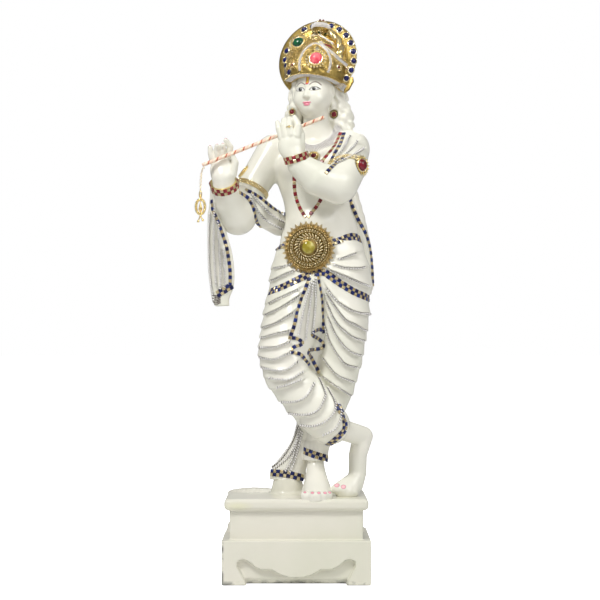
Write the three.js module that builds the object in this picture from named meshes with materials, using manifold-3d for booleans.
// A polished marble figure of Krishna playing the flute, carved in one block with its stepped plinth,
// and dressed with a gilt crown, jewels and a flute. Millimetres, +Z up, the front faces -Y.
// The origin is the centre of the plinth's underside.
import * as THREE from 'three';
import { mergeVertices } from 'three/addons/utils/BufferGeometryUtils.js';
import Module from 'manifold-3d';

const wasm = await Module();
wasm.setup();

// Driving dimensions, in millimetres
const BODY_HEIGHT = 594; // soles to the top of the head, which carvers count as 108 angulas
const ANGULA = BODY_HEIGHT / 108; // the figure's own measure for pose, proportions and carving
const GAP = 0.3; // clearance round every separate piece
const PLINTH_BLOCK = { width: 198, depth: 124, height: 59.5 };
const PLINTH_NECK = { width: 178, depth: 106, height: 39.5 };
const PLINTH_SLAB = { width: 192, depth: 121, height: 15, rim: 5.5 };
const APRON_DEPTH = 5.5; // how far the carved field of the lower block is sunk
const FLUTE_WIDTH = 5.2;
const STONE_ROW = 3.7; // width of one row of square stones
const BAND_THICKNESS = 1.8;

const PLINTH_HEIGHT = PLINTH_BLOCK.height + PLINTH_NECK.height + PLINTH_SLAB.height;

// Marks in the figure's measure are [across, depth, height] above the plinth's top
const toWorld = ([x, y, z]) =>
  new THREE.Vector3(x * ANGULA, y * ANGULA, PLINTH_HEIGHT + z * ANGULA);

const lerp = (a, b, t) => a + (b - a) * t;
const clamp = (v, lo, hi) => Math.min(Math.max(v, lo), hi);
const smooth = (lo, hi, v) => {
  const t = clamp((v - lo) / (hi - lo), 0, 1);
  return t * t * (3 - 2 * t);
};

// Clay: a block of space that holds the distance to the carved surface, negative inside the marble
const FAR = 9;

class Clay {
  constructor(low, high, step) {
    this.low = low;
    this.step = step;
    this.size = low.map((v, axis) => Math.ceil((high[axis] - v) / step) + 1);
    this.values = new Float32Array(this.size[0] * this.size[1] * this.size[2]).fill(FAR);
  }

  // calls visit(index, x, y, z) for the cells between two corners
  within(from, to, visit) {
    const [first, last] = [from, to].map((corner, end) => corner.map((v, axis) => clamp(
      Math[end ? 'ceil' : 'floor']((v - this.low[axis]) / this.step), 0, this.size[axis] - 1)));
    for (let k = first[2]; k <= last[2]; k++) {
      const z = this.low[2] + k * this.step;
      for (let j = first[1]; j <= last[1]; j++) {
        const y = this.low[1] + j * this.step;
        const row = (k * this.size[1] + j) * this.size[0];
        for (let i = first[0]; i <= last[0]; i++) visit(row + i, this.low[0] + i * this.step, y, z);
      }
    }
  }

  add(form, softness = 0.6) {
    const reach = softness + 2 * this.step;
    this.within(form.low.map((v) => v - reach), form.high.map((v) => v + reach), (index, x, y, z) => {
      this.values[index] = softUnion(this.values[index], form.distance(x, y, z), softness);
    });
  }

  cut(form, softness = 0.4) {
    this.within(form.low.map((v) => v - softness), form.high.map((v) => v + softness), (index, x, y, z) => {
      this.values[index] = -softUnion(-this.values[index], form.distance(x, y, z), softness);
    });
  }

  // joins another block of clay of the same grid, with a crisp edge where softness is small
  join(other, softness) {
    for (let index = 0; index < this.values.length; index++) {
      this.values[index] = softUnion(this.values[index], other.values[index], softness);
    }
  }

  // raises the surface by height(x, y, z)
  raise(from, to, height) {
    this.within(from, to, (index, x, y, z) => {
      this.values[index] -= height(x, y, z);
    });
  }

  at(x, y, z) {
    const place = [x, y, z].map((v, axis) =>
      clamp((v - this.low[axis]) / this.step, 0, this.size[axis] - 1.001));
    const [i, j, k] = place.map(Math.floor);
    const [fx, fy, fz] = [place[0] - i, place[1] - j, place[2] - k];
    const value = (a, b, c) =>
      this.values[((k + c) * this.size[1] + j + b) * this.size[0] + i + a];
    const edge = (b, c) => lerp(value(0, b, c), value(1, b, c), fx);
    return lerp(lerp(edge(0, 0), edge(1, 0), fy), lerp(edge(0, 1), edge(1, 1), fy), fz);
  }

  // the first carved point met from a start along a direction, all in angulas
  meet(start, direction) {
    const point = new THREE.Vector3(...start);
    const stride = new THREE.Vector3(...direction).setLength(this.step / 3);
    for (let n = 0; n < 400 && this.at(point.x, point.y, point.z) > 0; n++) point.add(stride);
    return point;
  }

  outward(point) {
    const e = this.step;
    const slope = (dx, dy, dz) => this.at(point.x + dx, point.y + dy, point.z + dz)
      - this.at(point.x - dx, point.y - dy, point.z - dz);
    return new THREE.Vector3(slope(e, 0, 0), slope(0, e, 0), slope(0, 0, e)).normalize();
  }
}

function softUnion(a, b, softness) {
  const h = Math.max(softness - Math.abs(a - b), 0) / softness;
  return Math.min(a, b) - h * h * softness * 0.25;
}

// a chain of balls [x, y, z, radius] with cones between them; spread flattens it along an axis
function limb(balls, spread = [1, 1, 1]) {
  const narrow = Math.min(...spread);
  const widest = Math.max(...balls.map((ball) => ball[3])) * Math.max(...spread);
  const bones = balls.slice(1).map((end, n) => {
    const along = end.map((v, axis) => v - balls[n][axis]);
    return [...balls[n], ...along, along[0] ** 2 + along[1] ** 2 + along[2] ** 2];
  });
  const [sx, sy, sz] = spread;
  const distance = (x, y, z) => {
    let best = FAR;
    for (const [ax, ay, az, radius, ux, uy, uz, grow, length] of bones) {
      const t = clamp(((x - ax) * ux + (y - ay) * uy + (z - az) * uz) / length, 0, 1);
      const dx = (x - ax - ux * t) / sx;
      const dy = (y - ay - uy * t) / sy;
      const dz = (z - az - uz * t) / sz;
      best = Math.min(best, (Math.sqrt(dx * dx + dy * dy + dz * dz) - radius - grow * t) * narrow);
    }
    return best;
  };
  const edge = (pick, sign) => [0, 1, 2].map((axis) =>
    pick(...balls.map((ball) => ball[axis])) + sign * widest);
  return { low: edge(Math.min, -1), high: edge(Math.max, 1), distance };
}

// an egg [x, y, z] with three radii, turned about the vertical by an angle in degrees
function egg([cx, cy, cz], [rx, ry, rz], turn = 0) {
  const cos = Math.cos(THREE.MathUtils.degToRad(turn));
  const sin = Math.sin(THREE.MathUtils.degToRad(turn));
  const reach = Math.max(rx, ry);
  const distance = (x, y, z) => {
    const dx = (x - cx) * cos + (y - cy) * sin;
    const dy = (y - cy) * cos - (x - cx) * sin;
    const dz = z - cz;
    const size = Math.hypot(dx / rx, dy / ry, dz / rz);
    const slope = Math.hypot(dx / rx ** 2, dy / ry ** 2, dz / rz ** 2);
    return slope > 1e-6 ? size * (size - 1) / slope : -Math.min(rx, ry, rz);
  };
  return {
    low: [cx - reach, cy - reach, cz - rz],
    high: [cx + reach, cy + reach, cz + rz],
    distance,
  };
}

// a body built up from level oval sections [height, across, depth, half width, half depth]
function stack(sections) {
  const last = sections.length - 1;
  const sizeAt = (z) => {
    let n = 0;
    while (n < last - 1 && sections[n + 1][0] < z) n++;
    const t = clamp((z - sections[n][0]) / (sections[n + 1][0] - sections[n][0]), 0, 1);
    return [1, 2, 3, 4].map((column) => {
      const pick = (row) => sections[clamp(row, 0, last)][column];
      const [p0, p1, p2, p3] = [pick(n - 1), pick(n), pick(n + 1), pick(n + 2)];
      return 0.5 * (2 * p1 + (p2 - p0) * t + (2 * p0 - 5 * p1 + 4 * p2 - p3) * t * t
        + (3 * p1 - p0 - 3 * p2 + p3) * t * t * t);
    });
  };
  let level = NaN;
  let size = [];
  const distance = (x, y, z) => {
    if (z !== level) {
      level = z;
      size = sizeAt(z);
    }
    const dx = x - size[0];
    const dy = y - size[1];
    const length = Math.hypot(dx / size[2], dy / size[3]);
    const slope = Math.hypot(dx / size[2] ** 2, dy / size[3] ** 2);
    const side = slope > 1e-6 ? length * (length - 1) / slope : -Math.min(size[2], size[3]);
    const beyond = Math.max(sections[0][0] - z, z - sections[last][0]);
    return beyond > 0 ? Math.hypot(Math.max(side, 0), beyond) : Math.max(side, beyond);
  };
  const widest = Math.max(...sections.map((row) => Math.max(row[3], row[4])));
  const edge = (column, sign) => Math[sign < 0 ? 'min' : 'max'](...sections.map((row) => row[column]));
  return {
    low: [edge(1, -1) - widest, edge(2, -1) - widest, edge(0, -1)],
    high: [edge(1, 1) + widest, edge(2, 1) + widest, edge(0, 1)],
    distance,
  };
}

// The head's own frame: across, forward and up from its centre, turned towards the figure's right
const HEAD = { centre: [4.3, -0.7, 99.3], turn: 20 };
const HEAD_COS = Math.cos(THREE.MathUtils.degToRad(HEAD.turn));
const HEAD_SIN = Math.sin(THREE.MathUtils.degToRad(HEAD.turn));
const onHead = (across, forward, up) => [
  HEAD.centre[0] + across * HEAD_COS - forward * HEAD_SIN,
  HEAD.centre[1] - across * HEAD_SIN - forward * HEAD_COS,
  HEAD.centre[2] + up,
];
const headEgg = (place, radii) => egg(onHead(...place), radii, -HEAD.turn);
const SKULL = { place: [0, -0.7, 1.4], radii: [4.7, 5.3, 6.2] };

function carveHead(clay) {
  clay.add(limb([[5.3, 1.0, 87.5, 3.6], [4.9, 0.3, 94.5, 3.2]]), 1.5);
  clay.add(headEgg(SKULL.place, SKULL.radii), 1);
  clay.add(headEgg([0, 1.1, -0.7], [4.5, 4.3, 4.8]), 1);
  clay.add(headEgg([0, 3.2, -3.7], [1.9, 1.7, 1.5]), 1.4);
  clay.add(limb([[...onHead(0, 5.1, 1.2), 0.5], [...onHead(0, 5.9, -1.3), 0.62]]), 0.9);
  for (const side of [-1, 1]) {
    clay.add(headEgg([1.75 * side, 4.35, 0.75], [1.1, 0.75, 0.55]), 0.5);
    clay.add(headEgg([2.0 * side, 3.6, -1.6], [1.7, 1.5, 1.6]), 1.2);
    clay.add(headEgg([4.75 * side, -0.3, 0.7], [0.6, 1.1, 1.7]), 0.5);
  }
  clay.add(headEgg([0, 5.0, -2.95], [1.15, 0.65, 0.45]), 0.4);
}

// Hair: locks that fall behind the ears to the shoulders, and a full mass at the nape
function carveHair(clay) {
  clay.add(limb([
    [0.9, 0.4, 101.5, 2.2], [0.6, 0.2, 97, 2.1], [-0.7, 0.8, 94, 2.2], [-2.3, 1.6, 90.5, 1.9],
  ]), 0.8);
  clay.add(limb([
    [9.6, 1.2, 102, 1.9], [11.0, 1.5, 97.5, 2.2], [12.0, 1.5, 93.8, 2.5], [11.9, 1.3, 90, 2.4],
  ]), 0.8);
  clay.add(egg([5.4, 3.6, 98], [6.2, 3.8, 7.2]), 1.2);
  for (const [x, depth] of [[-0.4, 4.6], [2.4, 6.4], [5.6, 7.1], [8.8, 6.5], [11.4, 4.9]]) {
    clay.add(limb([[x, depth - 1, 100, 1.6], [x - 0.3, depth, 94, 1.7], [x, depth - 0.4, 88, 1.2]]), 0.5);
  }
}

function carveTrunk(clay) {
  clay.add(stack([
    [60, 6.0, 0.5, 10.6, 6.4], [64, 6.0, 0.3, 9.9, 6.0], [68, 6.0, 0.2, 8.9, 5.5],
    [72, 5.2, 0.2, 8.2, 5.5], [76, 4.5, 0.2, 8.7, 5.8], [80, 3.9, 0.3, 9.6, 6.0],
    [84, 3.8, 0.7, 9.9, 5.4], [87.5, 4.2, 1.0, 7.6, 4.0],
  ]), 1.5);
  clay.add(egg([4.8, -3.2, 66.5], [5.5, 3.2, 4.5]), 1.5);
  for (const side of [-1, 1]) clay.add(egg([3.9 + 4.2 * side, -3.4, 81.6], [4.3, 2.6, 3.4]), 1.5);
  clay.add(limb([[-4.5, 1.2, 87.2, 2.6], [5, 1.4, 90, 2.6], [12.5, 1.2, 87.6, 2.8]]), 1.8);
  clay.add(limb([[4.8, 5.4, 86, 0.9], [5.6, 5.4, 70, 0.9]]), 3);
}

// The figure's right arm, at the viewer's left, with its palm to the front behind the flute
function carveRightArm(clay) {
  clay.add(limb([
    [-5.6, 0.9, 85.4, 4.5], [-10.4, -0.8, 77.4, 4.0], [-14.5, -3.2, 69.0, 4.5],
  ]), 1.2);
  clay.add(limb([
    [-14.5, -3.4, 69.1, 4.5], [-16.4, -6.2, 72.2, 3.8], [-17.4, -9.4, 75.6, 2.9], [-17.6, -10.4, 77.6, 2.6],
  ]), 0.8);
  clay.add(egg([-17.75, -10.7, 79.3], [3.05, 1.5, 3.6]), 0.8);
  clay.add(limb([[-15.4, -11, 78.4, 1.1], [-14.7, -11.6, 81.0, 0.85], [-15.5, -12.1, 83.0, 0.55]]), 0.5);
  clay.add(limb([[-20.0, -10.9, 81.4, 0.9], [-20.6, -11.3, 83.3, 0.72], [-20.75, -11.7, 84.7, 0.55]]), 0.3);
  clay.add(limb([[-18.9, -10.9, 82.2, 0.9], [-19.1, -11.6, 84.0, 0.75], [-19.0, -12.4, 84.9, 0.6]]), 0.3);
  clay.add(limb([[-17.7, -10.9, 82.4, 0.9], [-17.7, -11.7, 84.4, 0.75], [-17.6, -12.5, 85.1, 0.6]]), 0.3);
  clay.add(limb([[-16.5, -10.9, 82.4, 0.9], [-15.9, -11.5, 84.8, 0.75], [-16.9, -12.2, 86.3, 0.6]]), 0.3);
}

// The figure's left arm, at the viewer's right, bent across the chest with the back of its hand to the front
function carveLeftArm(clay) {
  clay.add(limb([[13.5, 0.8, 85.4, 4.7], [12.6, -4.6, 80.4, 4.4], [10.6, -8.4, 76.4, 4.5]]), 1.2);
  clay.add(limb([
    [9.8, -8.8, 75.9, 4.5], [4.9, -10.2, 77.4, 4.1], [0.9, -11.4, 80.4, 3.0], [-0.3, -12, 82.5, 2.6],
  ]), 0.8);
  clay.add(egg([-1.35, -12.3, 85.0], [3.05, 1.7, 3.5]), 0.8);
  clay.add(limb([[-3.6, -12.4, 87.0, 0.9], [-4.3, -12.5, 89.2, 0.7], [-4.6, -11.9, 90.7, 0.5]]), 0.3);
  clay.add(limb([[-2.7, -12.8, 87.4, 0.95], [-3.15, -12.9, 89.8, 0.78], [-3.0, -11.8, 91.2, 0.65]]), 0.3);
  clay.add(limb([[-1.4, -13.0, 87.6, 1.0], [-1.8, -13.1, 90.0, 0.82], [-1.7, -11.9, 91.4, 0.7]]), 0.3);
  clay.add(limb([[0.1, -12.9, 87.4, 1.0], [0.4, -12.9, 89.8, 0.85], [-0.5, -11.9, 91.8, 0.7]]), 0.3);
  clay.add(limb([[1.2, -11.9, 84.0, 0.9], [1.3, -11.9, 87.6, 0.8], [0.9, -11.2, 89.2, 0.6]]), 0.4);
}

// Standing left foot, its toes to the front, and the right foot on tiptoe with its heel raised
function carveFeet(clay) {
  clay.add(limb([
    [5.1, 0.8, 12, 2.6], [4.9, 0.6, 7.6, 2.5], [5.0, -1.6, 3.9, 2.5], [5.0, -6.2, 2.0, 2.0],
  ], [1.1, 1, 1]), 1.2);
  clay.add(egg([5.1, 2.6, 1.6], [2.2, 2.4, 2.2]), 1);
  clay.add(egg([5.0, -6.4, 0.9], [3.6, 3.6, 1.7]), 0.8);
  const toes = [
    [2.1, 1.0, -9.9], [3.8, 0.82, -10.3], [5.35, 0.78, -10.2], [6.8, 0.74, -9.8], [8.0, 0.7, -9.1],
  ];
  for (const [x, radius, tip] of toes) {
    clay.add(limb([[lerp(x, 5, 0.2), -6.6, 1.3, radius * 1.05], [x, tip, radius * 0.9, radius]]), 0.25);
  }
  clay.add(limb([
    [11.6, -4.2, 18.4, 3.0], [14.5, -1.6, 14.7, 3.0], [15.2, -1.0, 9.8, 2.35], [15.1, -1.4, 5.4, 2.25],
    [14.6, -2.4, 2.3, 2.2],
  ]), 1);
  clay.add(egg([17.0, 1.0, 14.4], [1.9, 2.2, 2.4]), 1.2);
  const tiptoes = [
    [9.4, -4.6, 1.15], [10.6, -5.6, 0.95], [12.0, -6.3, 0.85], [13.4, -6.6, 0.8], [14.7, -6.3, 0.75],
  ];
  for (const [x, y, radius] of tiptoes) {
    clay.add(limb([[lerp(x, 14.4, 0.75), -3.0, 1.9, 1.4], [x, y, radius * 0.9, radius]]), 0.35);
  }
}

// Folds: each family runs between guide lines given as [across, height] marks seen from the front
const FOLDS = {
  rightThigh: {
    count: 8, rise: 0.42, guides: [
      [[-6.6, 52.9], [-3.5, 54.4], [-1.3, 55.3], [0.6, 55.6]],
      [[-8.8, 41.4], [-6.5, 42.1], [-4.3, 43.1], [-1.1, 45.2]],
      [[-9.4, 31.9], [-5.5, 31.0], [-2.6, 31.2], [0.1, 33.0]],
    ],
  },
  leftThigh: {
    count: 8, rise: 0.42, guides: [
      [[8.4, 55.6], [11.0, 54.5], [13.5, 53.5], [18.6, 51.3]],
      [[7.5, 47.6], [9.9, 42.8], [13.5, 39.6], [17.6, 38.2]],
      [[6.7, 29.5], [8.9, 27.8], [11.2, 26.3], [14.0, 24.8]],
    ],
  },
  calf: {
    count: 5, rise: 0.42, guides: [
      [[-5.6, 26.6], [-1.9, 27.5], [0.8, 28.4], [2.5, 29.4]],
      [[-3.0, 20.6], [2.2, 20.0], [6.2, 22.4], [5.5, 28.9]],
      [[5.9, 14.6], [9.2, 16.4], [10.9, 19.7], [10.0, 23.2]],
    ],
  },
  belly: {
    count: 3, rise: 0.3, guides: [
      [[8.8, 59.3], [11.5, 60.2], [14.0, 61.3], [16.4, 62.4]],
      [[9.2, 56.8], [11.5, 56.4], [14.0, 56.4], [17.4, 56.6]],
    ],
  },
  rearTail: {
    count: 3, rise: 0.35, guides: [
      [[1.0, 16.3], [0.2, 13.0], [-1.9, 9.4], [-5.4, 6.6]],
      [[2.0, 15.6], [0.6, 11.7], [-0.2, 8.4], [-0.8, 5.3]],
    ],
  },
  panel: {
    count: 5, rise: 0.3, guides: [
      [[2.9, 52.5], [0.6, 45.5], [-0.9, 40.5], [-1.5, 36.0]],
      [[5.2, 54.0], [6.0, 49.3], [6.5, 44.0], [6.4, 36.0]],
    ],
  },
};
const SCARF_FOLDS = {
  hangingEnd: {
    count: 4, rise: 0.3, guides: [
      [[-20.6, 73.0], [-21.2, 64.0], [-20.8, 54.0], [-20.0, 47.0]],
      [[-19.6, 70.0], [-17.4, 63.0], [-16.2, 55.0], [-16.8, 48.0]],
    ],
  },
  swag: {
    count: 4, rise: 0.35, guides: [
      [[-12.3, 74.9], [-10.0, 73.3], [-6.8, 71.1], [-2.6, 69.0]],
      [[-12.6, 73.6], [-10.6, 69.4], [-7.4, 65.8], [-3.0, 65.0]],
    ],
  },
  shoulder: {
    count: 4, rise: 0.32, guides: [
      [[11.0, 90.3], [9.5, 86.0], [7.4, 82.6], [5.2, 81.0]],
      [[17.8, 86.0], [15.0, 83.2], [10.0, 82.0], [5.0, 80.6]],
    ],
  },
};
const FOLD_BACK = 1.3; // how softly a fold swells on its upper side
const FOLD_EDGE = 0.4; // how sharply it drops on its lower side

function foldLines(family) {
  const lines = [];
  const spans = family.guides.length - 1;
  for (let n = 0; n < family.count; n++) {
    const place = (n / (family.count - 1)) * spans;
    const first = Math.min(Math.floor(place), spans - 1);
    const marks = family.guides[first].map(([x, z], mark) => {
      const [toX, toZ] = family.guides[first + 1][mark];
      return new THREE.Vector2(lerp(x, toX, place - first), lerp(z, toZ, place - first));
    });
    lines.push(new THREE.SplineCurve(marks).getPoints(14));
  }
  return lines;
}

// a height over the front view, worked out once for each column of the clay
function frontMap(clay, relief) {
  const [across, , tall] = clay.size;
  return (x, z) => {
    const i = clamp(Math.round((x - clay.low[0]) / clay.step), 0, across - 1);
    const k = clamp(Math.round((z - clay.low[2]) / clay.step), 0, tall - 1);
    return relief[k * across + i];
  };
}

// the relief of a set of fold families over the clay's front view
function foldRelief(clay, families) {
  const [across, , tall] = clay.size;
  const relief = new Float32Array(across * tall);
  const reach = 3.2;
  for (const family of Object.values(families)) {
    for (const line of foldLines(family)) {
      const span = (axis, pick) => pick(...line.map((mark) => mark[axis]));
      const cells = (value, axis) => Math.round((value - clay.low[axis]) / clay.step);
      const [left, right] = [cells(span('x', Math.min) - reach, 0), cells(span('x', Math.max) + reach, 0)];
      const [under, over] = [cells(span('y', Math.min) - reach, 2), cells(span('y', Math.max) + reach, 2)];
      for (let k = Math.max(under, 0); k <= Math.min(over, tall - 1); k++) {
        for (let i = Math.max(left, 0); i <= Math.min(right, across - 1); i++) {
          const swell = family.rise
            * foldSwell(line, clay.low[0] + i * clay.step, clay.low[2] + k * clay.step);
          relief[k * across + i] = Math.max(relief[k * across + i], swell);
        }
      }
    }
  }
  return frontMap(clay, relief);
}

// a raised field inside a closed outline of front-view marks
function fieldRelief(clay, outline, rise) {
  const [across, , tall] = clay.size;
  const relief = Float32Array.from({ length: across * tall }, (_, cell) => {
    const x = clay.low[0] + (cell % across) * clay.step;
    const z = clay.low[2] + Math.floor(cell / across) * clay.step;
    return rise * smooth(-0.3, 0.3, insideOutline(outline, x, z));
  });
  return frontMap(clay, relief);
}

function foldSwell(line, x, z) {
  let nearest = Infinity;
  let side = 1;
  for (let n = 0; n < line.length - 1; n++) {
    const [a, b] = [line[n], line[n + 1]];
    const [alongX, alongZ] = [b.x - a.x, b.y - a.y];
    const t = clamp(((x - a.x) * alongX + (z - a.y) * alongZ) / (alongX ** 2 + alongZ ** 2), 0, 1);
    const away = Math.hypot(x - a.x - alongX * t, z - a.y - alongZ * t);
    if (away < nearest) {
      nearest = away;
      side = alongX * (z - a.y) - alongZ * (x - a.x);
    }
  }
  return Math.exp(-nearest / (side > 0 ? FOLD_BACK : FOLD_EDGE));
}

// how far a front-view mark lies inside a closed outline, negative outside
function insideOutline(outline, x, z) {
  let nearest = Infinity;
  let inside = false;
  outline.forEach(([ax, az], n) => {
    const [bx, bz] = outline[(n + 1) % outline.length];
    const [alongX, alongZ] = [bx - ax, bz - az];
    const t = clamp(((x - ax) * alongX + (z - az) * alongZ) / (alongX ** 2 + alongZ ** 2), 0, 1);
    nearest = Math.min(nearest, Math.hypot(x - lerp(ax, bx, t), z - lerp(az, bz, t)));
    if (az > z !== bz > z && x < (alongX * (z - az)) / alongZ + ax) inside = !inside;
  });
  return inside ? nearest : -nearest;
}

const FRONT_PANEL = [
  [2.6, 52.6], [-1.8, 39.0], [-1.3, 35.4], [2.0, 33.8], [4.6, 30.6], [6.5, 36.4], [6.9, 40.6], [5.5, 54.4],
];
const PANEL_RISE = 0.5;

// The dhoti: cloth wrapped on the hips and legs, with its pleated front panel and the tail behind
function carveDhoti(cloth) {
  cloth.add(stack([
    [50, 6.2, 0.4, 12.6, 7.2], [55, 6.2, 0.4, 12.2, 7.5], [59, 6.0, 0.4, 11.4, 7.3],
    [62, 6.0, 0.4, 10.7, 6.8], [64.6, 6.0, 0.3, 10.2, 6.3],
  ]), 1);
  cloth.add(limb([
    [10.6, 0.2, 54, 7.6], [11.4, -0.2, 44, 6.5], [11.2, -0.5, 34, 5.1], [9.4, 0.2, 25, 4.3],
    [6.6, 0.8, 17, 3.6], [5.0, 0.7, 11.6, 3.1],
  ]), 1.2);
  cloth.add(limb([
    [1.6, -0.4, 54, 7.6], [-1.0, -2.4, 44, 6.9], [-3.1, -4.2, 35.5, 5.9], [-2.6, -5.0, 30.2, 5.3],
    [2.0, -5.6, 24.4, 5.1], [6.0, -5.4, 19.8, 5.0], [8.3, -4.8, 17.6, 4.9],
  ]), 1.2);
  cloth.add(limb([[4.6, 0.6, 46, 5], [4.4, 1.0, 33, 3.6], [4.6, 1.6, 22, 3.2]]), 1);
  cloth.add(stack([
    [3.4, -1.9, 3.0, 4.8, 2.4], [5.2, -2.1, 3.0, 4.5, 2.4], [7.4, -1.2, 3.0, 4.1, 2.3],
    [10, 0.1, 2.9, 3.4, 2.2], [13.2, 1.2, 2.4, 2.4, 2.2], [17.2, 2.2, 2.0, 2.2, 2.2], [21, 3.0, 1.4, 2.0, 2.0],
  ]), 0.8);
  const relief = foldRelief(cloth, FOLDS);
  const panel = fieldRelief(cloth, FRONT_PANEL, PANEL_RISE);
  cloth.raise([-12, -14, 2], [21, 12, 66], (x, y, z) => {
    const front = smooth(1, -2, y);
    return relief(x, z) * lerp(0.7, 1, front) + panel(x, z) * front;
  });
}

// The scarf: over the left shoulder, round the back, through the crook of the right arm, and hanging
function carveScarf(cloth) {
  cloth.add(stack([
    [46.8, -18.3, -4.2, 1.8, 0.9], [48.6, -18.6, -4.2, 2.1, 1.1], [51.5, -18.3, -4.2, 2.8, 1.2],
    [55, -18.4, -4.2, 3.1, 1.2], [59.5, -18.7, -4.3, 2.9, 1.2], [64.8, -19.4, -4.6, 2.2, 1.3],
    [68.6, -20.1, -5.2, 1.5, 1.4], [73, -19.6, -6.4, 1.6, 1.8], [76, -18.6, -7.4, 1.9, 1.8],
  ]), 0.6);
  cloth.add(limb([[-18.6, -7.4, 75.2, 2.3], [-16.2, -6.0, 73.4, 3.0], [-13.6, -4.0, 73.2, 3.4]]), 1);
  cloth.add(limb([
    [-13.0, -4.0, 73.6, 2.8], [-10.4, -3.6, 71.6, 3.0], [-7.4, -1.4, 69.0, 2.9], [-4.4, 1.4, 67.3, 2.7],
    [-2.0, 4.0, 67.2, 2.6],
  ], [1, 0.5, 1]), 0.6);
  cloth.add(limb([
    [-2.0, 4.0, 67.2, 2.6], [4.5, 5.9, 68.5, 2.8], [12.0, 5.0, 74.0, 2.8], [14.2, 3.6, 84.0, 3.0],
  ], [1, 0.45, 1]), 0.8);
  cloth.add(limb([[13.8, 0.8, 86.2, 5.3], [10.6, -3.6, 83.6, 3.1], [5.6, -5.6, 81.0, 1.1]]), 0.8);
  cloth.add(limb([[10.2, 1.4, 89.6, 2.6], [13.8, 1.0, 87.0, 4.7]]), 0.8);
  cloth.add(limb([
    [13.6, 3.0, 76, 1.7], [15.4, 2.8, 69, 1.9], [16.8, 2.4, 62, 2.0], [17.8, 1.8, 55, 1.7],
    [18.2, 1.4, 51.6, 1.1],
  ]), 0.6);
  const relief = foldRelief(cloth, SCARF_FOLDS);
  cloth.raise([-23, -14, 46], [20, 12, 94], (x, y, z) => relief(x, z));
}

// The rough ground that the feet and the rear cloth stand on
function carveGround(clay) {
  clay.add(stack([[-1, -2.2, 3.0, 4.6, 3.6], [2, -2.2, 3.0, 3.9, 3.0], [4, -2.2, 3.0, 3.4, 2.4]]), 0.8);
  clay.add(egg([-10.5, 7.2, -0.5], [7.2, 2.8, 1.35]), 0.5);
  clay.add(egg([6, 2.5, -0.4], [8.5, 4.5, 1.2]), 0.5);
}

// Closes the clay at the block's own walls, and fills the places where clay meets clay at a corner only,
// which no closed surface can pass through
function closeClay(clay) {
  const [nx, ny, nz] = clay.size;
  const { values } = clay;
  for (let index = 0; index < values.length; index++) {
    const [i, j, k] = [index % nx, Math.floor(index / nx) % ny, Math.floor(index / (nx * ny))];
    const atWall = i < 2 || j < 2 || k < 2 || i > nx - 3 || j > ny - 3 || k > nz - 3;
    if (atWall) values[index] = Math.max(values[index], clay.step / 4);
  }
  const steps = [1, nx, nx * ny];
  const corners = [0, 1, 2, 3, 4, 5, 6, 7].map((n) =>
    (n & 1) * steps[0] + ((n >> 1) & 1) * steps[1] + (n >> 2) * steps[2]);
  const squares = [[0, 1, 2, 3], [4, 5, 6, 7], [0, 1, 4, 5], [2, 3, 6, 7], [0, 2, 4, 6], [1, 3, 5, 7]];
  for (let mended = true; mended;) {
    mended = false;
    for (let base = 0; base < values.length - corners[7]; base++) {
      let mask = 0;
      for (let n = 0; n < 8; n++) if (values[base + corners[n]] < 0) mask |= 1 << n;
      if (mask === 0 || mask === 255) continue;
      const on = (n) => (mask >> n) & 1;
      const crossed = squares.find(([a, b, c, d]) => on(a) === on(d) && on(b) === on(c) && on(a) !== on(b));
      const opposite = [0, 1, 2, 3].find((n) => mask === (1 << n | 1 << (7 - n))
        || mask === (255 ^ (1 << n | 1 << (7 - n))));
      if (!crossed && opposite === undefined) continue;
      const empty = (crossed ?? [0, 1, 2, 3, 4, 5, 6, 7]).find((n) => !on(n));
      values[base + corners[empty]] = -0.01;
      mended = true;
    }
  }
}

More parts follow.
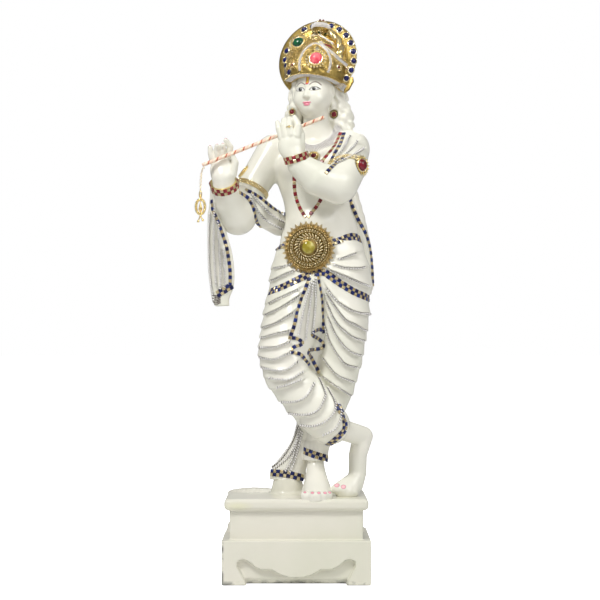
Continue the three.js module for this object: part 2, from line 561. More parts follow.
// The carved surface of a block of clay, as triangles in its own measure
function surfaceOf(clay) {
  closeClay(clay);
  const [nx, ny, nz] = clay.size;
  const points = [];
  const triangles = [];
  const corner = new Int32Array(nx * ny * nz).fill(-1);
  const steps = [1, nx, nx * ny];
  const inside = (index) => clay.values[index] < 0;
  const beyond = steps[0] + steps[1] + steps[2];
  const mixed = (base) => {
    const first = inside(base);
    return first !== inside(base + beyond) || first !== inside(base + steps[0])
      || first !== inside(base + steps[1]) || first !== inside(base + steps[2])
      || first !== inside(base + steps[0] + steps[1]) || first !== inside(base + steps[0] + steps[2])
      || first !== inside(base + steps[1] + steps[2]);
  };
  for (let k = 0; k < nz - 1; k++) {
    for (let j = 0; j < ny - 1; j++) {
      for (let i = 0; i < nx - 1; i++) {
        const base = (k * ny + j) * nx + i;
        if (!mixed(base)) continue;
        const sum = [0, 0, 0];
        let crossings = 0;
        for (let axis = 0; axis < 3; axis++) {
          const [u, v] = [(axis + 1) % 3, (axis + 2) % 3];
          for (let side = 0; side < 4; side++) {
            const from = base + (side & 1) * steps[u] + (side >> 1) * steps[v];
            const [a, b] = [clay.values[from], clay.values[from + steps[axis]]];
            if (a < 0 === b < 0) continue;
            sum[axis] += a / (a - b);
            sum[u] += side & 1;
            sum[v] += side >> 1;
            crossings++;
          }
        }
        if (!crossings) continue;
        corner[base] = points.length / 3;
        points.push(...[i, j, k].map((v, axis) =>
          clay.low[axis] + (v + sum[axis] / crossings) * clay.step));
      }
    }
  }
  for (let k = 1; k < nz - 1; k++) {
    for (let j = 1; j < ny - 1; j++) {
      for (let i = 1; i < nx - 1; i++) {
        const base = (k * ny + j) * nx + i;
        for (let axis = 0; axis < 3; axis++) {
          if (inside(base) === inside(base + steps[axis])) continue;
          const [u, v] = [steps[(axis + 1) % 3], steps[(axis + 2) % 3]];
          const ring = [base, base - u, base - u - v, base - v].map((cell) => corner[cell]);
          if (!inside(base)) ring.reverse();
          triangles.push(ring[0], ring[1], ring[2], ring[0], ring[2], ring[3]);
        }
      }
    }
  }
  return { points, triangles };
}

// Thins a closed surface by joining the ends of the edges that change it least, until it has the target's
// number of triangles or the next change would be more than the ceiling. heed(x, y, z) says how much more
// a place matters than the plain surface.
function thinned({ points, triangles }, { target = 0, ceiling = Infinity, heed = () => 1 }) {
  const place = Float64Array.from(points);
  const faces = Int32Array.from(triangles);
  const count = place.length / 3;
  const around = Array.from({ length: count }, () => []);
  const quadric = new Float64Array(count * 10);
  const version = new Int32Array(count);
  const gone = new Uint8Array(faces.length / 3);
  const at = (v) => [place[3 * v], place[3 * v + 1], place[3 * v + 2]];
  const normal = (a, b, c) => {
    const [ux, uy, uz] = [b[0] - a[0], b[1] - a[1], b[2] - a[2]];
    const [vx, vy, vz] = [c[0] - a[0], c[1] - a[1], c[2] - a[2]];
    return [uy * vz - uz * vy, uz * vx - ux * vz, ux * vy - uy * vx];
  };
  for (let f = 0; f < gone.length; f++) {
    const ends = [faces[3 * f], faces[3 * f + 1], faces[3 * f + 2]];
    const n = normal(...ends.map(at));
    const size = Math.hypot(...n) || 1e-12;
    const [a, b, c] = n.map((v) => v / size);
    const first = at(ends[0]);
    const d = -(a * first[0] + b * first[1] + c * first[2]);
    const weight = size * heed(...first);
    const terms = [a * a, a * b, a * c, a * d, b * b, b * c, b * d, c * c, c * d, d * d];
    for (const v of ends) {
      around[v].push(f);
      terms.forEach((term, n) => (quadric[v * 10 + n] += term * weight));
    }
  }
  const q = new Float64Array(10);
  const error = (x, y, z) => q[0] * x * x + 2 * q[1] * x * y + 2 * q[2] * x * z + 2 * q[3] * x
    + q[4] * y * y + 2 * q[5] * y * z + 2 * q[6] * y + q[7] * z * z + 2 * q[8] * z + q[9];
  const plan = (a, b) => {
    for (let n = 0; n < 10; n++) q[n] = quadric[a * 10 + n] + quadric[b * 10 + n];
    const [ax, ay, az] = [place[3 * a], place[3 * a + 1], place[3 * a + 2]];
    const [bx, by, bz] = [place[3 * b], place[3 * b + 1], place[3 * b + 2]];
    let [x, y, z] = [(ax + bx) / 2, (ay + by) / 2, (az + bz) / 2];
    const c0 = q[4] * q[7] - q[5] * q[5];
    const c1 = q[2] * q[5] - q[1] * q[7];
    const c2 = q[1] * q[5] - q[2] * q[4];
    const det = q[0] * c0 + q[1] * c1 + q[2] * c2;
    if (Math.abs(det) > 1e-7) {
      const sx = -(q[3] * c0 + q[6] * c1 + q[8] * c2) / det;
      const c3 = q[1] * q[2] - q[0] * q[5];
      const sy = -(q[3] * c1 + q[6] * (q[0] * q[7] - q[2] * q[2]) + q[8] * c3) / det;
      const sz = -(q[3] * c2 + q[6] * c3 + q[8] * (q[0] * q[4] - q[1] * q[1])) / det;
      const reach = 2.25 * ((ax - bx) ** 2 + (ay - by) ** 2 + (az - bz) ** 2);
      if ((sx - x) ** 2 + (sy - y) ** 2 + (sz - z) ** 2 < reach) [x, y, z] = [sx, sy, sz];
    }
    return { a, b, x, y, z, cost: Math.max(error(x, y, z), 0), stamp: version[a] + version[b] };
  };

  const heap = [];
  const push = (entry) => {
    let n = heap.push(entry) - 1;
    while (n > 0 && heap[(n - 1) >> 1].cost > entry.cost) {
      heap[n] = heap[(n - 1) >> 1];
      n = (n - 1) >> 1;
    }
    heap[n] = entry;
  };
  const pop = () => {
    const top = heap[0];
    const entry = heap.pop();
    let n = 0;
    while (heap.length && 2 * n + 1 < heap.length) {
      let child = 2 * n + 1;
      if (child + 1 < heap.length && heap[child + 1].cost < heap[child].cost) child++;
      if (heap[child].cost >= entry.cost) break;
      heap[n] = heap[child];
      n = child;
    }
    if (heap.length) heap[n] = entry;
    return top;
  };
  const neighbours = (v) => {
    const near = new Set();
    for (const f of around[v]) for (let n = 0; n < 3; n++) near.add(faces[3 * f + n]);
    near.delete(v);
    return near;
  };
  const turnsOver = (v, other, spot) => around[v].some((f) => {
    const ends = [faces[3 * f], faces[3 * f + 1], faces[3 * f + 2]];
    if (ends.includes(other)) return false;
    const before = normal(...ends.map(at));
    const after = normal(...ends.map((end) => (end === v ? spot : at(end))));
    const dot = before[0] * after[0] + before[1] * after[1] + before[2] * after[2];
    return dot < 0.25 * Math.hypot(...before) * Math.hypot(...after);
  });

  let left = gone.length;
  for (let v = 0; v < count; v++) for (const w of neighbours(v)) if (v < w) push(plan(v, w));
  while (left > target && heap.length) {
    const { a, b, x, y, z, cost, stamp } = pop();
    if (cost > ceiling) break;
    const spot = [x, y, z];
    if (version[a] < 0 || version[b] < 0 || version[a] + version[b] !== stamp) continue;
    const [nearA, nearB] = [neighbours(a), neighbours(b)];
    if ([...nearA].filter((v) => nearB.has(v)).length !== 2) continue;
    if (turnsOver(a, b, spot) || turnsOver(b, a, spot)) continue;
    for (const f of around[b]) {
      const ends = [faces[3 * f], faces[3 * f + 1], faces[3 * f + 2]];
      if (ends.includes(a)) {
        gone[f] = 1;
        left--;
      } else {
        for (let n = 0; n < 3; n++) if (ends[n] === b) faces[3 * f + n] = a;
        around[a].push(f);
      }
    }
    for (const v of [...nearA, ...nearB, a]) around[v] = around[v].filter((f) => !gone[f]);
    spot.forEach((v, n) => (place[3 * a + n] = v));
    for (let n = 0; n < 10; n++) quadric[a * 10 + n] += quadric[b * 10 + n];
    version[a]++;
    version[b] = -1;
    for (const v of neighbours(a)) push(plan(a, v));
  }
  const kept = [...gone.keys()].filter((f) => !gone[f]);
  return meshOf(place, kept.flatMap((f) => [...faces.slice(3 * f, 3 * f + 3)]));
}

function meshOf(place, faces) {
  const geometry = new THREE.BufferGeometry();
  geometry.setAttribute('position', new THREE.BufferAttribute(Float32Array.from(place), 3));
  geometry.setIndex(faces);
  return geometry;
}

// Solids: closed meshes for joining and cutting, in millimetres
function solidOf(geometry, matrix = new THREE.Matrix4()) {
  const bare = geometry.clone().applyMatrix4(matrix);
  for (const name of Object.keys(bare.attributes)) if (name !== 'position') bare.deleteAttribute(name);
  const welded = mergeVertices(bare, 1e-4);
  return new wasm.Manifold(new wasm.Mesh({
    numProp: 3,
    vertProperties: Float32Array.from(welded.attributes.position.array),
    triVerts: Uint32Array.from(welded.index.array),
  }));
}

function geometryOf(solid) {
  const { vertProperties, triVerts } = solid.getMesh();
  return meshOf(vertProperties, [...triVerts]);
}

// a cut solid's geometry, with the splinters that cutting leaves joined up
const SPLINTER = 0.05; // the greatest change of shape that joining may make, in mm^4
function tidied(solid) {
  const { vertProperties, triVerts } = solid.getMesh();
  return thinned({ points: vertProperties, triangles: triVerts }, { ceiling: SPLINTER });
}

// The marble figure, carved in clay and thinned to its faceted solid
const CLAY_STEP = 2.1 / ANGULA;
const FIGURE_FACES = 3600;
const CLAY_LOW = [-23.5, -15.5, -2.2];
const CLAY_HIGH = [20.5, 10.5, 109];

function carveFigure() {
  const clay = new Clay(CLAY_LOW, CLAY_HIGH, CLAY_STEP);
  carveTrunk(clay);
  carveRightArm(clay);
  carveLeftArm(clay);
  carveFeet(clay);
  carveHead(clay);
  carveHair(clay);
  for (const carveCloth of [carveDhoti, carveScarf]) {
    const cloth = new Clay(CLAY_LOW, CLAY_HIGH, CLAY_STEP);
    carveCloth(cloth);
    clay.join(cloth, 0.25);
  }
  carveGround(clay);
  return clay;
}

const clay = carveFigure();

function figureSolid() {
  const fineWork = (x, y, z) => {
    const face = z > 93 && y < 0;
    const hands = y < -9.5 && z > 76;
    const feet = z < 4 && y < -4;
    return face || hands || feet ? 6 : 1;
  };
  const carved = thinned(surfaceOf(clay), { target: FIGURE_FACES, heed: fineWork });
  const toMillimetres = new THREE.Matrix4().makeScale(ANGULA, ANGULA, ANGULA);
  return solidOf(carved, toMillimetres.setPosition(0, 0, PLINTH_HEIGHT));
}

// The plinth: a footed block with a sunk scalloped field in front, a neck and a round-edged slab
function plinthSolid() {
  const box = ({ width, depth, height }, base) => solidOf(
    new THREE.BoxGeometry(width, depth, height), new THREE.Matrix4().makeTranslation(0, 0, base + height / 2));
  const { width, depth, height, rim } = PLINTH_SLAB;
  const slabOutline = new THREE.Shape();
  slabOutline.moveTo(-width / 2 + rim, -depth / 2 + rim);
  slabOutline.lineTo(width / 2 - rim, -depth / 2 + rim);
  slabOutline.lineTo(width / 2 - rim, depth / 2 - rim);
  slabOutline.lineTo(-width / 2 + rim, depth / 2 - rim);
  slabOutline.closePath();
  const slab = new THREE.ExtrudeGeometry(slabOutline, {
    depth: height - 2 * rim, bevelSize: rim, bevelThickness: rim, bevelSegments: 3,
  });
  const neckBase = PLINTH_BLOCK.height;
  const slabBase = neckBase + PLINTH_NECK.height;
  const neck = { ...PLINTH_NECK, height: PLINTH_NECK.height + 2 };
  return box(PLINTH_BLOCK, 0)
    .subtract(apronSolid())
    .add(box(neck, neckBase - 1))
    .add(solidOf(slab, new THREE.Matrix4().makeTranslation(0, 0, slabBase + rim)));
}

// The sunk field of the block's front: marks of its right half, as shares of the block's half width and height
const APRON_MARKS = [
  [0.0, 0.165], [0.12, 0.19], [0.22, 0.245], [0.33, 0.36], [0.45, 0.345], [0.56, 0.41], [0.64, 0.53],
  [0.71, 0.575], [0.78, 0.53], [0.8, 0.43],
];

function apronSolid() {
  const half = APRON_MARKS.map(([x, z]) => [x * PLINTH_BLOCK.width / 2, z * PLINTH_BLOCK.height]);
  const foot = [0.63 * PLINTH_BLOCK.width / 2, -1];
  const right = [...half, foot];
  const left = right.slice(1).reverse().map(([x, z]) => [-x, z]);
  const outline = new THREE.Shape([...left, ...right].map(([x, z]) => new THREE.Vector2(x, z)));
  const field = new THREE.ExtrudeGeometry(outline, { depth: APRON_DEPTH + 1, bevelEnabled: false });
  const turn = new THREE.Matrix4().makeRotationX(Math.PI / 2);
  turn.setPosition(0, APRON_DEPTH - PLINTH_BLOCK.depth / 2, 0);
  return solidOf(field, turn);
}

// Finishes
const finish = (color, roughness, metalness) =>
  new THREE.MeshStandardMaterial({ color, roughness, metalness });
const marble = finish(0xf0eee6, 0.3, 0);
const gilt = finish(0xc9a548, 0.35, 0.9);
const agedGilt = finish(0xa8905a, 0.4, 0.85);
const silverBeads = finish(0xc8c4bc, 0.3, 0.8);
const greenStone = finish(0x0d4a26, 0.1, 0);
const pinkStone = finish(0xd8405c, 0.2, 0);
const blueStone = finish(0x141a66, 0.1, 0);
const redStone = finish(0x7a1020, 0.15, 0);
const yellowStone = finish(0xa89a34, 0.15, 0);
const squareStones = finish(0x24307a, 0.25, 0.2);
const redSquares = finish(0x9a2226, 0.25, 0.2);
const fluteWrap = finish(0xd9906a, 0.4, 0.2);

const figure = new THREE.Group();
const beds = { marble: [], crown: [] }; // what each piece presses into its bearer, clearance included

// Sets a piece on its bearer: shape(grow) gives its geometry, grown all round for the bed, which is returned.
// A notch is the bed of another piece that this one makes way for.
function setPiece(name, material, bearer, shape, place = () => {}, notch = null) {
  const piece = new THREE.Mesh(shape(0), material);
  piece.name = name;
  place(piece);
  piece.updateMatrixWorld(true);
  const bed = solidOf(shape(GAP), piece.matrixWorld);
  beds[bearer]?.push(bed);
  if (notch) {
    piece.geometry = geometryOf(solidOf(piece.geometry, piece.matrixWorld).subtract(notch));
    piece.position.set(0, 0, 0);
    piece.quaternion.identity();
  }
  figure.add(piece);
  return bed;
}

const aim = (piece, out, from = new THREE.Vector3(0, 0, 1)) =>
  piece.quaternion.setFromUnitVectors(from, out.clone().normalize());

// a place on the carved front, as seen from the front at [across, height], with the way out of the surface
function onFront(x, z, from = CLAY_LOW[1] + 0.2) {
  const mark = clay.meet([x, from, z], [0, 1, 0]);
  return { spot: toWorld(mark.toArray()), out: clay.outward(mark) };
}

// a turned piece: profile marks [radius, height] from the axis at the back to the axis at the front
const turned = (marks, sides) =>
  new THREE.LatheGeometry(marks.map(([r, z]) => new THREE.Vector2(r, z)), sides).rotateX(Math.PI / 2);

// a straight round seat that clears a piece of a given radius
const SEAT_SIDES = 8;
const seat = (radius, from, to) => {
  const r = radius / Math.cos(Math.PI / SEAT_SIDES);
  return turned([[0, from], [r, from], [r, to], [0, to]], SEAT_SIDES);
};

// a polished dome on a short girdle, or the seat for it where grow is more than nothing
function domed(radius, height, girdle, sides = 12, grow = 0) {
  if (grow) return seat(radius + grow, -girdle - grow, height + grow);
  const arc = [0, 0.55].map((t) => t * Math.PI / 2)
    .map((angle) => [radius * Math.cos(angle), height * Math.sin(angle)]);
  return turned([[0, -girdle], [radius, -girdle], ...arc, [0, height]], sides);
}

// a flat ring about its own Z, closed on itself
function hoop(inner, outer, width, grow = 0, sides = 14) {
  const [a, b, h] = [inner - grow, outer + grow, width / 2 + grow];
  return turned([[a, -h], [b, -h], [b, h], [a, h], [a, -h]], sides);
}

// a strip of even section along places on the surface
function strip(places, width, thickness, grow = 0, closed = false) {
  const path = new THREE.CatmullRomCurve3(places.map(({ spot }) => spot), closed);
  const count = closed ? places.length : places.length - 1;
  const half = width / 2 + grow;
  const rows = [];
  for (let n = 0; n < (closed ? count : count + 1); n++) {
    const t = n / count;
    const centre = path.getPoint(t);
    const along = path.getTangent(t);
    if (!closed && (n === 0 || n === count)) centre.addScaledVector(along, n ? grow : -grow);
    const place = t * (closed ? places.length : places.length - 1);
    const [first, next] = [Math.floor(place) % places.length, Math.ceil(place) % places.length];
    const out = places[first].out.clone().lerp(places[next].out, place % 1);
    out.addScaledVector(along, -out.dot(along)).normalize();
    const side = new THREE.Vector3().crossVectors(out, along);
    for (const [a, b] of [[-1, -1], [1, -1], [1, 1], [-1, 1]]) {
      rows.push(...centre.clone().addScaledVector(side, a * half)
        .addScaledVector(out, b * (thickness / 2 + grow)).toArray());
    }
  }
  const total = rows.length / 12;
  const faces = [];
  for (let n = 0; n < (closed ? total : total - 1); n++) {
    for (let c = 0; c < 4; c++) {
      const [a, b] = [4 * n + c, 4 * n + (c + 1) % 4];
      const [d, e] = [4 * ((n + 1) % total) + c, 4 * ((n + 1) % total) + (c + 1) % 4];
      faces.push(a, b, e, a, e, d);
    }
  }
  const end = 4 * (total - 1);
  if (!closed) faces.push(0, 2, 1, 0, 3, 2, end, end + 1, end + 2, end, end + 2, end + 3);
  return meshOf(rows, faces);
}

// The flute, held across the body, with the chain and charm at its outer end
const FLUTE_FROM = [-22.5, -13.2, 80.2];
const FLUTE_TO = [6.7, -10.2, 92.2];

function addFlute() {
  const [from, to] = [toWorld(FLUTE_FROM), toWorld(FLUTE_TO)];
  const length = from.distanceTo(to);
  setPiece('flute', fluteWrap, 'marble', (grow) =>
    new THREE.CylinderGeometry(FLUTE_WIDTH / 2 + grow, FLUTE_WIDTH / 2 + grow, length + 2 * grow, 16),
  (piece) => {
    piece.position.copy(from).lerp(to, 0.5);
    aim(piece, to.clone().sub(from), new THREE.Vector3(0, 1, 0));
  });
}

const CHAIN_WIDTH = 1.6;
const CHARM = { ring: 6.6, tall: 1.5, thick: 1.9, neck: 2.6, tail: 9.5, ball: 2.1 };

function addCharm() {
  const top = toWorld(FLUTE_FROM).add(new THREE.Vector3(1.2, 0, -FLUTE_WIDTH / 2 - GAP));
  const drop = 0.55 * ANGULA;
  const hang = [[0, 0], [-2, -2], [-3.4, -8], [-3.6, -12]];
  const route = new THREE.CatmullRomCurve3(hang.map(([x, steps]) =>
    top.clone().add(new THREE.Vector3(x, 0, steps * drop))));
  const section = new THREE.Shape();
  section.absarc(0, 0, CHAIN_WIDTH / 2, 0, 2 * Math.PI);
  const chain = new THREE.ExtrudeGeometry(section, {
    extrudePath: route, steps: 8, curveSegments: 3, bevelEnabled: false,
  });
  setPiece('flute_chain', gilt, 'none', () => chain);
  const low = route.getPoint(1);
  const { ring, tall, thick, neck, tail, ball } = CHARM;
  const ringHeight = ring * tall;
  const part = (geometry, x, z) => solidOf(geometry, new THREE.Matrix4().makeTranslation(x, 0, z));
  const round = (radius) => new THREE.SphereGeometry(radius, 6, 4);
  const post = (from, to) => part(
    new THREE.CylinderGeometry(0.9, 0.9, to - from, 6).rotateX(Math.PI / 2), 0, (from + to) / 2);
  const oval = new THREE.TorusGeometry(ring, thick, 5, 12).scale(1, tall, 1).rotateX(Math.PI / 2);
  const foot = -ringHeight - thick;
  const body = part(oval, 0, 0)
    .add(part(round(ball * 1.4), 0, 0))
    .add(post(foot - tail, ringHeight + thick + neck))
    .add(part(round(ball), 0, foot - tail))
    .add(part(round(ball), -ball * 0.8, foot - tail * 0.45))
    .add(part(round(ball), ball * 0.8, foot - tail * 0.45));
  setPiece('flute_charm', gilt, 'none', () => geometryOf(body), (piece) => {
    piece.position.set(low.x, low.y, low.z - GAP - ringHeight - thick - neck);
  });
}

// Bands round a limb: [centre], [axis], inner and outer radius in angulas
function addBand(name, material, { centre, axis, inner, outer, width, sides }, notch) {
  const shape = (grow) => hoop(inner * ANGULA, outer * ANGULA, width, grow, sides);
  setPiece(name, material, 'marble', shape, (piece) => {
    piece.position.copy(toWorld(centre));
    aim(piece, new THREE.Vector3(...axis));
  }, notch);
}

// a star plate with the points of its rays at radius and its hollows at dip
function starPlate(rays, radius, dip, thick) {
  const outline = Array.from({ length: 2 * rays }, (_, n) => {
    const reach = n % 2 ? dip : radius;
    const angle = (n * Math.PI) / rays;
    return new THREE.Vector2(Math.cos(angle) * reach, Math.sin(angle) * reach);
  });
  return new THREE.ExtrudeGeometry(new THREE.Shape(outline), { depth: thick, bevelEnabled: false });
}

// a round or oval brooch: a rayed gilt cup, and a domed stone in it that is clear of the cup
function addBrooch(names, [metal, gem], bearer, { radius, stone, thick }, pose, squeeze = 1) {
  const floor = thick * 0.55;
  const hollow = seat(stone + GAP, floor - GAP, 2 * thick).scale(squeeze, 1, 1);
  const cup = solidOf(starPlate(10, radius, radius * 0.86, thick).scale(squeeze, 1, 1))
    .subtract(solidOf(hollow));
  const shape = (grow) => (grow
    ? seat(radius + grow, -grow, 3 * thick).scale(squeeze, 1, 1)
    : geometryOf(cup));
  const bed = setPiece(names[0], metal, bearer, shape, pose);
  setPiece(names[1], gem, 'none', () => domed(stone, stone * 0.55, thick - floor)
    .scale(squeeze, 1, 1).translate(0, 0, thick), pose);
  return bed;
}

function addJewels() {
  const band = 2 * STONE_ROW + 1;
  addBand('right_bracelet', redSquares, {
    centre: [-17.35, -9.5, 75.8], axis: [-0.18, -0.62, 0.76], inner: 2.7, outer: 3.6, width: band,
  });
  addBand('left_bracelet', redSquares, {
    centre: [-0.1, -11.8, 82.1], axis: [-0.27, -0.2, 0.94], inner: 2.1, outer: 2.95, width: band,
  });
  addBand('right_armlet', gilt, {
    centre: [-10.75, -1.2, 75.6], axis: [-0.43, -0.25, -0.86], inner: 3.5, outer: 4.2, width: band * 0.8,
  });
  addBand('finger_ring', gilt, {
    centre: [-1.75, -13.0, 89.3], axis: [-0.1, 0, 1], inner: 0.75, outer: 1.02, width: 2.4, sides: 8,
  });

  const shoulder = clay.meet([18, -14, 81.0], [-0.3, 1, 0]);
  const armletBrooch = addBrooch(['left_armlet_brooch', 'left_armlet_stone'], [gilt, redStone], 'marble',
    { radius: 14, stone: 9.4, thick: 3 }, (piece) => {
      piece.position.copy(toWorld([shoulder.x - 0.2, shoulder.y + 0.1, shoulder.z]));
      aim(piece, new THREE.Vector3(0.5, -0.85, 0.05));
    }, 0.68);
  addBand('left_armlet', gilt, {
    centre: [12.75, -4.2, 80.6], axis: [0.12, -0.5, -0.86], inner: 4.1, outer: 4.85, width: band * 0.8,
  }, armletBrooch);
  const outer = clay.meet([-20, -1.5, 84], [1, 0, -0.55]);
  setPiece('right_armlet_brooch', gilt, 'marble', (grow) => domed(10.5, 2.6, 1.2, 12, grow), (piece) => {
    piece.position.copy(toWorld([outer.x, outer.y, outer.z]));
    aim(piece, new THREE.Vector3(-0.76, -0.2, 0.62));
  });

  for (const [side, x, z, radius] of [['right', -1.1, 95.1, 5.0], ['left', 9.4, 94.8, 6.1]]) {
    const { spot, out } = onFront(x, z);
    addBrooch([`${side}_earring`, `${side}_earring_stone`], [gilt, redStone], 'marble',
      { radius, stone: radius * 0.66, thick: 2.4 }, (piece) => {
        piece.position.copy(spot).addScaledVector(out, -1.2);
        aim(piece, new THREE.Vector3(out.x * 0.3, -1, out.z * 0.3));
      });
  }

  const behindForearm = -7.7;
  const along = (marks, lift) => marks.map(([x, z]) => {
    const { spot, out } = onFront(x, z, behindForearm);
    return { spot: spot.addScaledVector(out, lift), out };
  });
  const lift = 0.25 * BAND_THICKNESS;
  const collar = along([
    [10.4, 91.4], [9.4, 89.4], [8.0, 87.6], [6.2, 86.4], [4.2, 85.9], [2.2, 86.3], [0.5, 87.5], [-0.8, 89.0],
  ], lift);
  setPiece('collar', silverBeads, 'marble', (grow) => strip(collar, 10.5, BAND_THICKNESS, grow));
  const pendant = onFront(4.25, 83.4);
  addBrooch(['collar_pendant', 'collar_pendant_stone'], [gilt, redStone], 'marble',
    { radius: 8.2, stone: 3.8, thick: 3 }, (piece) => {
      piece.position.copy(pendant.spot).addScaledVector(pendant.out, -1);
      aim(piece, pendant.out);
    });
  const strands = {
    red_strand_right: [
      [-0.9, 82.0], [-0.7, 80.6], [-0.6, 79.2], [-0.5, 76.7], [-0.2, 74.5], [0.4, 72.3], [1.2, 70.3],
      [2.1, 69.0],
    ],
    red_strand_left: [[10.8, 88.4], [9.4, 86.0], [8.0, 84.3], [6.4, 82.6], [5.2, 80.6]],
    red_strand_low: [[5.9, 72.9], [5.2, 71.6], [4.2, 70.2], [3.4, 69.1]],
  };
  for (const [name, marks] of Object.entries(strands)) {
    const places = along(marks, lift);
    setPiece(name, redSquares, 'marble', (grow) => strip(places, STONE_ROW, BAND_THICKNESS, grow));
  }
}

// The waist: a belt of two stone rows that dips in front, and the sun medallion that hangs over it
const BELT = { centre: [6, 0.4], reach: 9.5, places: 18, dip: 61.6, back: 60.8 };

function addBelt() {
  const places = Array.from({ length: BELT.places }, (_, n) => {
    const angle = (n / BELT.places) * 2 * Math.PI;
    const [x, y] = [Math.cos(angle), Math.sin(angle)];
    const across = BELT.centre[0] + BELT.reach * x;
    const front = BELT.dip + 0.24 * Math.max(across - 5.5, 0) + 0.05 * Math.max(2 - across, 0);
    const height = lerp(BELT.back, front, smooth(0.2, -0.2, y));
    const mark = clay.meet([BELT.centre[0] + 16 * x, BELT.centre[1] + 12 * y, height], [-x, -y, 0]);
    const out = clay.outward(mark);
    return { spot: toWorld(mark.toArray()).addScaledVector(out, 0.25 * BAND_THICKNESS), out };
  });
  setPiece('waist_belt', squareStones, 'marble', (grow) =>
    strip(places, 2 * STONE_ROW + 0.8, BAND_THICKNESS, grow, true));
}

const SUN = { place: [3.0, 60.9], radius: 34.5, disc: 27, rays: 24, stone: 10.6, thick: 3 };

function addSun() {
  const reach = (0.85 * SUN.disc) / ANGULA;
  const foremost = Array.from({ length: 12 }, (_, n) => (n / 12) * 2 * Math.PI).map((angle) =>
    onFront(SUN.place[0] + reach * Math.cos(angle), SUN.place[1] + reach * Math.sin(angle)).spot.y);
  const centre = onFront(...SUN.place).spot;
  const pose = (piece) => {
    piece.position.set(centre.x, Math.min(centre.y, ...foremost) + 1.5, centre.z);
    aim(piece, new THREE.Vector3(-0.04, -1, 0.03));
  };
  const { radius, disc, rays, stone, thick } = SUN;
  const face = turned([
    [0, thick * 0.4], [disc * 0.99, thick * 0.4], [disc, thick + 1.6], [disc * 0.9, thick + 2.6],
    [disc * 0.8, thick + 1.4], [disc * 0.56, thick + 2.2], [stone + 2.4, thick + 4.6],
    [stone + 1.2, thick + 4.8], [0, thick + 4.6],
  ], 20);
  const bezel = seat(stone + GAP, thick - GAP, 3 * thick + 4);
  const body = solidOf(starPlate(rays, radius, disc * 0.98, thick))
    .add(solidOf(face)).subtract(solidOf(bezel));
  setPiece('sun_medallion', agedGilt, 'marble', (grow) =>
    (grow ? seat(radius + grow, -grow, 4 * thick) : geometryOf(body)), pose);
  setPiece('sun_stone', yellowStone, 'none', () => domed(stone, 3, 4, 14).translate(0, 0, thick + 4), pose);
}

// The crown, in the head's frame but tilted back and a little to the figure's left
const CROWN_TILT = { back: 9, side: 3 };
const CROWN = {
  cap: { place: [-0.3, 0.3, 6.3], radii: [7.8, 7.3, 8.9] },
  halo: { place: [-0.5, 1.6, 9.9], radius: 10.2 },
  brow: { height: 4.7, across: 6.5, forward: 6.7 },
};
const crownFrame = new THREE.Matrix4()
  .makeRotationZ(THREE.MathUtils.degToRad(-HEAD.turn))
  .multiply(new THREE.Matrix4().makeRotationY(THREE.MathUtils.degToRad(CROWN_TILT.side)))
  .multiply(new THREE.Matrix4().makeRotationX(THREE.MathUtils.degToRad(-CROWN_TILT.back)))
  .setPosition(toWorld(HEAD.centre));

const FINIAL = { place: [0.2, -0.4, 17.6], radii: [2.3, 2.0, 1.7] };

function crownBody(grow) {
  const g = grow / ANGULA;
  const dome = (place, radii, wide, high) => solidOf(
    new THREE.SphereGeometry(1, wide, high).rotateX(Math.PI / 2)
      .scale(...radii.map((r) => (r + g) * ANGULA)).translate(...place.map((v) => v * ANGULA)));
  const { cap, halo, brow } = CROWN;
  const haloMarks = [
    [0, -1.2 - g], [halo.radius - 0.6, -0.9 - g], [halo.radius + g, -0.3], [halo.radius + g, 0.4],
    [halo.radius - 0.5, 0.9 + g], [halo.radius - 2.9, 1.7 + g], [0, 2.4 + g],
  ];
  const plate = solidOf(turned(haloMarks.map((mark) => mark.map((v) => v * ANGULA)), 26)
    .rotateX(Math.PI / 2).translate(...halo.place.map((v) => v * ANGULA)));
  const browRing = solidOf(hoop(5.2 * ANGULA, brow.across * ANGULA, 1.5 * ANGULA, grow, 16)
    .scale(1, brow.forward / brow.across, 1).translate(0, 0.2 * ANGULA, brow.height * ANGULA));
  const below = solidOf(new THREE.BoxGeometry(40, 40, 12).scale(ANGULA, ANGULA, ANGULA)
    .translate(0, 0, (brow.height - 0.5 - g - 6) * ANGULA));
  const hairOpening = dome([0, 2.5, -0.6], [7.0, 9.5, 5.4].map((r) => r - 2 * g), 12, 8);
  return dome(cap.place, cap.radii, 16, 10).subtract(below)
    .add(plate.subtract(hairOpening)).add(browRing)
    .add(dome(FINIAL.place, FINIAL.radii, 8, 5)).transform([...crownFrame.elements]);
}

const skullSolid = (grow) => solidOf(new THREE.SphereGeometry(1, 12, 8).rotateX(Math.PI / 2)
  .scale(...SKULL.radii.map((r) => r * ANGULA + grow))
  .rotateZ(THREE.MathUtils.degToRad(-HEAD.turn))
  .translate(...toWorld(onHead(...SKULL.place)).toArray()));

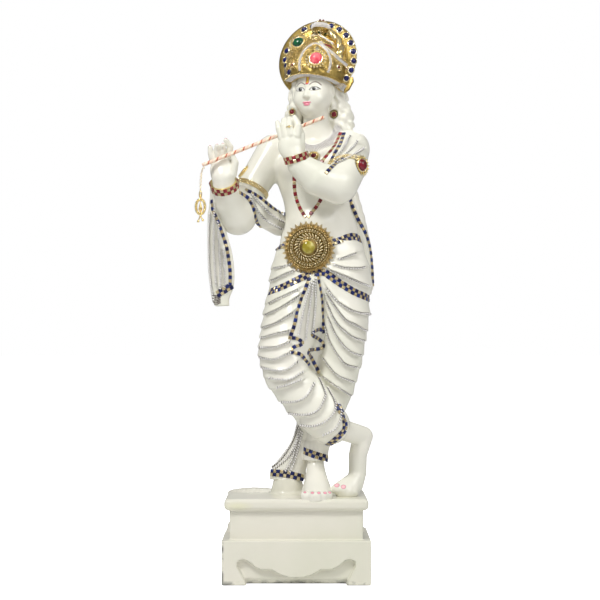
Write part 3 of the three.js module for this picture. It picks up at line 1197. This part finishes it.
function addCrown() {
  const body = crownBody(0);
  const bare = new THREE.Mesh(geometryOf(body), gilt);
  bare.updateMatrixWorld(true);
  const seek = new THREE.Raycaster();
  const middle = new THREE.Vector3(...CROWN.halo.place).multiplyScalar(ANGULA).applyMatrix4(crownFrame);
  // a place on the crown as seen from the front, in angulas from the halo's middle
  const onCrown = (x, z) => {
    const from = new THREE.Vector3(middle.x + x * ANGULA, 2 * CLAY_LOW[1] * ANGULA, middle.z + z * ANGULA);
    seek.set(from, new THREE.Vector3(0, 1, 0));
    const [hit] = seek.intersectObject(bare);
    return { spot: hit.point, out: hit.face.normal.clone() };
  };
  // frontwards turns a piece from the crown's own slope towards the front
  const set = ({ spot, out }, sunk, frontwards = 0) => (piece) => {
    const facing = out.clone().add(new THREE.Vector3(0, -frontwards, 0)).normalize();
    piece.position.copy(spot).addScaledVector(facing, -sunk);
    aim(piece, facing);
  };
  const rim = { centre: [0.38, 0.06], reach: CROWN.halo.radius - 1.45 };
  const [firstAngle, stepAngle, places, hidden] = [-39, 15.5, 17, [8, 11, 12]];
  for (let n = 0; n < places; n++) {
    if (hidden.includes(n)) continue;
    const angle = THREE.MathUtils.degToRad(firstAngle + n * stepAngle);
    const place = onCrown(
      rim.centre[0] + rim.reach * 0.97 * Math.cos(angle), rim.centre[1] + rim.reach * Math.sin(angle));
    const name = `crown_rim_stone_${String(n + 1).padStart(2, '0')}`;
    setPiece(name, blueStone, 'crown', (grow) => domed(3.9, 2.6, 0.8, 6, grow), set(place, -0.2));
  }
  const brooch = (name, stone, x, z, size, pose) => addBrooch(
    [`crown_${name}_setting`, `crown_${name}_stone`], [gilt, stone], 'crown', size, set(onCrown(x, z), ...pose));
  brooch('green', greenStone, -4.75, 3.2, { radius: 12.8, stone: 8.2, thick: 3 }, [0, 1.1]);
  brooch('pink', pinkStone, -0.55, -1.8, { radius: 13.6, stone: 9.0, thick: 3 }, [1]);
  setPiece('crown_finial_stone', redStone, 'crown', (grow) => domed(4.2, 3.4, 1, 6, grow), (piece) => {
    const [x, y, z] = FINIAL.place;
    piece.position.set(x, y, z + FINIAL.radii[2] - 0.1).multiplyScalar(ANGULA).applyMatrix4(crownFrame);
    aim(piece, new THREE.Vector3(0, 0, 1).transformDirection(crownFrame));
  });
  const seated = beds.crown.reduce((crown, bed) => crown.subtract(bed), body).subtract(skullSolid(GAP));
  const crown = new THREE.Mesh(tidied(seated), gilt);
  crown.name = 'crown';
  figure.add(crown);
}

addFlute();
addCharm();
addJewels();
addBelt();
addSun();
addCrown();

const carved = figureSolid().add(plinthSolid());
const bedded = beds.marble.reduce((block, bed) => block.subtract(bed), carved)
  .subtract(crownBody(GAP)).add(skullSolid(0));
const [whole] = bedded.decompose().sort((a, b) => b.volume() - a.volume()); // without the crumbs of cutting
const block = new THREE.Mesh(tidied(whole), marble);
block.name = 'figure';
figure.add(block);

export default figure;
